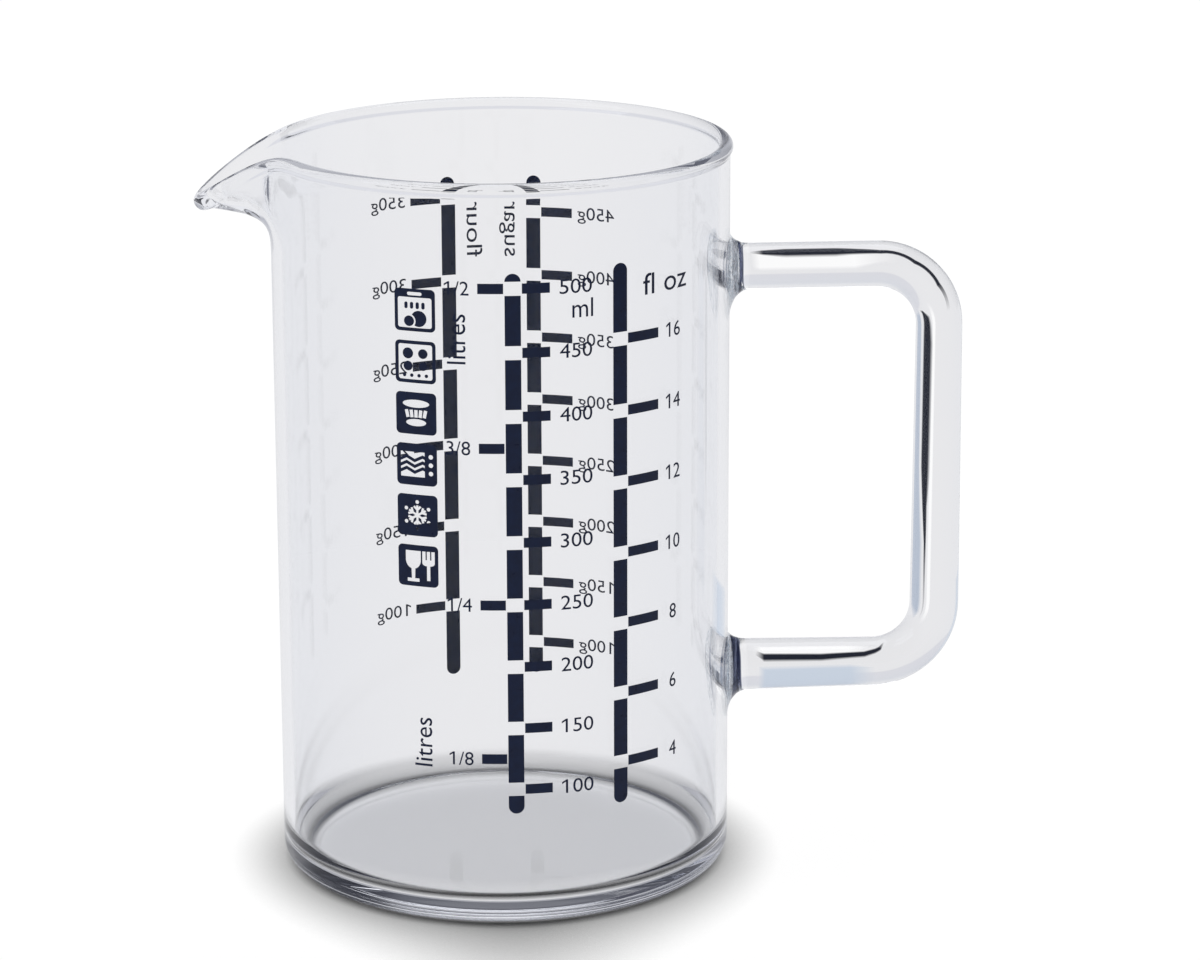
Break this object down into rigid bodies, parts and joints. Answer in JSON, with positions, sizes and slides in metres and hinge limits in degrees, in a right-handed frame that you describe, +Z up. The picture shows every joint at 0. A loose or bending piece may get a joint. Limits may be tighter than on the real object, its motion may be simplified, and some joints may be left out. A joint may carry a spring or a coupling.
{
  "type": "measuring jug",
  "caption": "Clear glass measuring jug: straight round vessel with a drawn pouring spout, a bent glass rod handle fused on at both ends, and enamel volume and weight scales.",
  "frame": {"origin": "middle of the flat base, on the table", "axes": "+Z up the axis of the vessel, +X towards the handle, -X towards the spout, -Y the side with the volume scales"},
  "size_m": [0.1343, 0.081, 0.1305],
  "materials": {
    "vessel_glass": "clear blown borosilicate glass with a fire-polished rim",
    "rod_glass": "clear drawn borosilicate rod, flame bent and fused",
    "enamel": "dark navy screen print enamel, fired on to the glass"
  },
  "bodies": {
    "root": {"vessel": "vessel_glass", "handle": "rod_glass", "upper_weld": "rod_glass", "lower_weld": "rod_glass", "millilitre_scale": "enamel", "litre_ticks": "enamel", "fluid_ounce_scale": "enamel", "flour_scale": "enamel", "sugar_scale": "enamel", "care_symbols": "enamel"}
  },
  "joints": []
}
